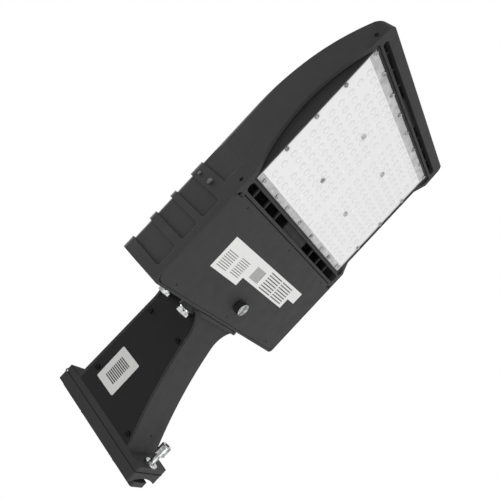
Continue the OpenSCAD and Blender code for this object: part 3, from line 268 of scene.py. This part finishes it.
def plated(name, base, low, high, marks=(900.0, 900.0, 90.0)):
    """Plated steel: bright, with fine turning marks and darker, cloudy patches."""
    f = Finish(name, base, 0.3, metallic=1.0)
    edges = f.rounded(0.25 * MM)
    cloud = f.spread(f.noise(190.0, 3.0, 0.6), 0.4, 0.58)
    metal = f.mix(cloud, scaled(base, 0.42), base)
    f.colour(f.mix(f.multiply(edges, 0.5), metal, scaled(base, 1.12)))
    streaks = f.noise(1.0, 3.0, 0.6, f.stretched(marks))
    f.rough(f.spread(streaks, 0.3, 0.7, low, high))
    f.bump(streaks, 0.12, 0.02 * MM)
    return f.done()


def brushed_sheet(name, base):
    """Rolled zinc sheet, with its spangle and long rolling lines."""
    f = Finish(name, base, 0.4, metallic=1.0)
    f.rounded(0.25 * MM)
    spangle = f.spread(f.cells(110.0), 0.0, 0.9)
    f.colour(f.mix(spangle, scaled(base, 0.82), scaled(base, 1.06)))
    lines = f.noise(1.0, 4.0, 0.6, f.stretched((1400.0, 25.0, 1400.0)))
    f.rough(f.spread(lines, 0.3, 0.7, 0.32, 0.5))
    f.bump(lines, 0.1, 0.02 * MM)
    return f.done()


def moulded(name, base, roughness, grain=1600.0):
    """Moulded plastic: even colour, a fine spark-eroded grain and softened edges."""
    f = Finish(name, base, roughness, specular=0.45)
    f.rounded(0.3 * MM)
    f.colour(f.mix(f.noise(35.0, 3.0), scaled(base, 0.92), scaled(base, 1.05)))
    f.rough(f.spread(f.noise(180.0, 3.0), 0.3, 0.7, roughness - 0.06, roughness + 0.08))
    f.bump(f.noise(grain, 2.0), 0.2, 0.03 * MM)
    return f.done()


def film(name, base):
    """Label film: white, satin, faintly wavy where it is stuck down."""
    f = Finish(name, base, 0.42, specular=0.4)
    f.colour(f.mix(f.noise(26.0, 4.0), scaled(base, 0.95), scaled(base, 1.03)))
    f.rough(f.spread(f.noise(90.0, 3.0), 0.3, 0.7, 0.36, 0.5))
    f.bump(f.noise(120.0, 2.0), 0.1, 0.05 * MM)
    return f.done()


def ink(name, base):
    """Thermal print: dark grey that breaks up a little."""
    f = Finish(name, base, 0.6, specular=0.3)
    faded = f.spread(f.noise(700.0, 3.0, 0.7), 0.45, 0.75, 0.0, 0.7)
    f.colour(f.mix(faded, base, scaled(base, 2.6)))
    f.rough(f.spread(f.noise(300.0), 0.3, 0.7, 0.5, 0.7))
    return f.done()


def optics(name, base, seal, low, high):
    """The lens plate: milky over the white boards, with painted shade darkening the flanks of its
    domes, greyer and blotchy where its seal shows through along the edges, and with the boards' gap at
    the back."""
    f = Finish(name, base, 0.2, specular=0.5)
    f.shader.inputs["Transmission Weight"].default_value = 0.1
    f.shader.inputs["IOR"].default_value = 1.49
    x, y = f.axis("X"), f.combine("ABSOLUTE", f.axis("Y"))
    over_seal = f.spread(x, low.x + SEAL_BACK - BLUR, low.x + SEAL_BACK + BLUR, 1.0, 0.0)
    for value, start in ((x, high.x - SEAL_FRONT), (y, high.y - SEAL_SIDE)):
        over_seal = f.combine("MAXIMUM", over_seal, f.spread(value, start - BLUR, start + BLUR))
    cloud = f.spread(f.noise(75.0, 5.0, 0.7), 0.35, 0.65)
    blotches = f.mix(cloud, scaled(seal, 0.72), scaled(seal, 1.15))
    milk = f.mix(f.noise(40.0, 4.0), scaled(base, 0.97), scaled(base, 1.02))
    gap = f.spread(y, GAP_HALF, 2 * GAP_HALF, 0.5, 0.0)
    gap = f.multiply(gap, f.spread(x, low.x + GAP_END - BLUR, low.x + GAP_END + BLUR, 1.0, 0.0))
    # The flanks of the domes are darkened to half the lens colour: painted shade in place of the
    # domes' own shading.
    colour = f.mix(over_seal, f.mix(f.steepness(), milk, scaled(base, 0.5)), blotches)
    f.colour(f.mix(gap, colour, scaled(seal, 0.6)))
    f.rough(f.spread(f.noise(150.0, 3.0), 0.3, 0.7, 0.14, 0.28))
    return f.done()


def board(name, base):
    """White solder mask with a faint weave of the laminate below it."""
    f = Finish(name, base, 0.45, specular=0.45)
    weave = f.noise(1.0, 2.0, 0.5, f.stretched((1200.0, 120.0, 120.0)))
    f.colour(f.mix(weave, scaled(base, 0.94), scaled(base, 1.03)))
    f.rough(f.spread(f.noise(240.0), 0.3, 0.7, 0.38, 0.52))
    f.bump(weave, 0.08, 0.02 * MM)
    return f.done()


def phosphor(name, base):
    """The yellow window of an LED package."""
    f = Finish(name, base, 0.3, specular=0.5)
    f.shader.inputs["Subsurface Weight"].default_value = 0.15
    f.shader.inputs["Subsurface Scale"].default_value = 0.5 * MM
    f.colour(f.mix(f.noise(1500.0, 2.0), scaled(base, 0.9), scaled(base, 1.08)))
    f.rough(f.spread(f.noise(400.0), 0.3, 0.7, 0.25, 0.4))
    return f.done()


def thermal(name, base):
    """Soft thermal pad: putty grey with a pressed grain."""
    f = Finish(name, base, 0.85, specular=0.2)
    f.colour(f.mix(f.noise(90.0, 4.0, 0.7), scaled(base, 0.85), scaled(base, 1.1)))
    f.rough(f.spread(f.noise(200.0), 0.3, 0.7, 0.78, 0.92))
    f.bump(f.noise(900.0, 2.0), 0.3, 0.05 * MM)
    return f.done()


def own_box(name):
    """The corners of one piece's box in its own coordinates."""
    points = [vertex.co for vertex in frame["nodes"][name].data.vertices]
    low, high = ([pick(point[i] for point in points) for i in range(3)] for pick in (min, max))
    return Vector(low), Vector(high)


def slot_materials():
    """One material for each slot of the record."""
    return {
        "powder_coat": powder_coat("powder_coat", CHARCOAL, 1.45, 1300.0),
        "dark_powder_coat": powder_coat("dark_powder_coat", NEAR_BLACK, 1.6, 1700.0),
        "black_rubber": rubber("black_rubber", (0.016, 0.016, 0.016)),
        "zinc_steel": plated("zinc_steel", ZINC, 0.2, 0.34),
        "dull_steel": plated("dull_steel", (0.13, 0.13, 0.13), 0.34, 0.5),
        "black_screw": plated("black_screw", (0.02, 0.02, 0.02), 0.5, 0.65),
        "green_screw": plated("green_screw", (0.06, 0.32, 0.12), 0.3, 0.45),
        "brass": plated("brass", (0.72, 0.53, 0.25), 0.24, 0.38),
        "sticker": film("sticker", (0.74, 0.74, 0.73)),
        "wire": moulded("wire", (0.022, 0.022, 0.022), 0.4, 2600.0),
        "tray_steel": brushed_sheet("tray_steel", (0.6, 0.61, 0.62)),
        "driver_case": brushed_sheet("driver_case", (0.68, 0.68, 0.69)),
        "black_plastic": moulded("black_plastic", (0.02, 0.02, 0.021), 0.5),
        "white_plastic": moulded("white_plastic", (0.72, 0.72, 0.7), 0.42),
        "pad": thermal("pad", (0.36, 0.37, 0.39)),
        "board": board("board", (0.83, 0.84, 0.83)),
        "led": phosphor("led", (0.85, 0.7, 0.25)),
        "lens": optics("lens", (0.9, 0.9, 0.9), (0.56, 0.56, 0.56), *own_box("lens_plate")),
    }


def finish_cad_nodes():
    materials = slot_materials()
    for row in frame["record"]["subparts"]:
        node = frame["nodes"][row["node"]]
        node.data.materials.clear()
        node.data.materials.append(materials[row["material_slot"]])
        for polygon in node.data.polygons:
            polygon.material_index = 0


# ---- Print on the labels ----------------------------------------------------


def strips_piece(name, strips, origin, along, across, out, material, body):
    """Thin flat strips of print in one piece. A strip is (u, v, length, width) in millimetres
    from the label's corner, with u running along and v across."""
    mesh = bmesh.new()
    for u, v, length, width in strips:
        corners = []
        for du, dv in ((0, 0), (length, 0), (length, width), (0, width)):
            corners.append(origin + along * (u + du) * MM + across * (v + dv) * MM)
        low = [mesh.verts.new(c) for c in corners]
        high = [mesh.verts.new(c + out * INK_T) for c in corners]
        mesh.faces.new(low[::-1])
        mesh.faces.new(high)
        for i in range(4):
            j = (i + 1) % 4
            mesh.faces.new((low[i], low[j], high[j], high[i]))
    bmesh.ops.recalc_face_normals(mesh, faces=mesh.faces)
    data = bpy.data.meshes.new(name)
    mesh.to_mesh(data)
    mesh.free()
    piece = bpy.data.objects.new(name, data)
    bpy.context.scene.collection.objects.link(piece)
    piece.data.materials.append(material)
    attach(piece, body)
    return piece


def even_bars(u, v, count, pitch, thickness, length):
    """Equal bars side by side across the label, each running along u."""
    return [(u, v + i * pitch, length, thickness) for i in range(count)]


def ruled_lines(u, v, count, pitch, thickness, length):
    """Equal lines one after another along u, each running across the label."""
    return [(u + i * pitch, v, thickness, length) for i in range(count)]


def label_prints():
    """Plain ruled lines and even bars in the places where the labels carry print."""
    material = ink("label_ink", (0.055, 0.055, 0.055))
    low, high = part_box("door_label")
    corner = Vector((low.x, low.y, low.z - LABEL_LIFT))
    door_strips = even_bars(*DOOR_BARS)
    for block in DOOR_LINES:
        door_strips += ruled_lines(*block)
    strips_piece("door_label_print", door_strips, corner, Vector((1, 0, 0)), Vector((0, 1, 0)),
                 Vector((0, 0, -1)), material, "door")
    low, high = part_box("arm_label")
    corner = Vector((low.x, low.y - LABEL_LIFT, low.z))
    strips_piece("arm_label_print", ruled_lines(*ARM_LINES), corner, Vector((1, 0, 0)),
                 Vector((0, 0, 1)), Vector((0, -1, 0)), material, "light")


# ---- Camera, lights and room ------------------------------------------------


def make_camera():
    rise, yaw, roll = (math.radians(a) for a in (CAMERA_RISE, CAMERA_YAW, CAMERA_ROLL))
    level = Vector((math.cos(yaw), math.sin(yaw), 0))
    look = Vector((-math.sin(yaw) * math.cos(rise), math.cos(yaw) * math.cos(rise), math.sin(rise)))
    top = level.cross(look)
    right = math.cos(roll) * level - math.sin(roll) * top
    up = math.sin(roll) * level + math.cos(roll) * top
    data = bpy.data.cameras.new("camera")
    data.lens = CAMERA_LENS
    data.sensor_width = SENSOR
    data.clip_start = 0.05
    camera = bpy.data.objects.new("camera", data)
    turn = Matrix((right, up, -look)).transposed().to_4x4()
    camera.matrix_world = Matrix.Translation(CAMERA_PLACE) @ turn
    bpy.context.scene.collection.objects.link(camera)
    bpy.context.scene.camera = camera


def shown_straight(tree):
    """1 for what the camera, a mirror or clear plastic shows directly, 0 for the light on surfaces."""
    path = tree.nodes.new("ShaderNodeLightPath")
    total = path.outputs["Is Camera Ray"]
    for kind in ("Is Glossy Ray", "Is Transmission Ray"):
        add = tree.nodes.new("ShaderNodeMath")
        add.operation = "MAXIMUM"
        tree.links.new(total, add.inputs[0])
        tree.links.new(path.outputs[kind], add.inputs[1])
        total = add.outputs["Value"]
    return total


def make_world(ambient):
    world = bpy.data.worlds.new("studio")
    bpy.context.scene.world = world
    world.use_nodes = True
    tree = world.node_tree
    background = tree.nodes["Background"]
    background.inputs["Color"].default_value = (1, 1, 1, 1)
    level = tree.nodes.new("ShaderNodeMapRange")
    level.inputs["To Min"].default_value = ambient
    level.inputs["To Max"].default_value = 1.0
    tree.links.new(shown_straight(tree), level.inputs["Value"])
    tree.links.new(level.outputs["Result"], background.inputs["Strength"])


def make_sun(name, direction, strength, spread):
    """A wide soft lamp that shines along direction."""
    data = bpy.data.lights.new(name, "SUN")
    data.energy = strength
    data.angle = math.radians(spread)
    lamp = bpy.data.objects.new(name, data)
    lamp.rotation_mode = "QUATERNION"
    lamp.rotation_quaternion = Vector(direction).to_track_quat("-Z", "Y")
    bpy.context.scene.collection.objects.link(lamp)


def make_panel(name, place, target, size, power):
    """A square soft lamp at a place, turned towards a target."""
    data = bpy.data.lights.new(name, "AREA")
    data.energy = power
    data.size = size
    lamp = bpy.data.objects.new(name, data)
    lamp.location = place
    lamp.rotation_mode = "QUATERNION"
    lamp.rotation_quaternion = (Vector(target) - Vector(place)).to_track_quat("-Z", "Y")
    lamp.visible_camera = False
    bpy.context.scene.collection.objects.link(lamp)


def make_floor():
    mesh = bmesh.new()
    bmesh.ops.create_grid(mesh, x_segments=4, y_segments=4, size=FLOOR_HALF)
    data = bpy.data.meshes.new("floor")
    mesh.to_mesh(data)
    mesh.free()
    floor = bpy.data.objects.new("floor", data)
    floor.location = (0.3, 0, FLOOR_Z)
    bpy.context.scene.collection.objects.link(floor)
    f = Finish("floor", (0.86, 0.86, 0.86), 0.7, specular=0.2)
    f.colour(f.mix(f.noise(3.0, 3.0), (0.85, 0.85, 0.85), (0.87, 0.87, 0.87)))
    data.materials.append(f.done())


make_camera()
make_world(AMBIENT)
make_sun("top", TOP_DIRECTION, TOP_STRENGTH, TOP_SPREAD)
make_panel("key", KEY_PLACE, KEY_TARGET, KEY_SIDE, KEY_POWER)
make_floor()
finish_cad_nodes()
label_prints()

scene = bpy.context.scene
scene.view_settings.view_transform = "Standard"
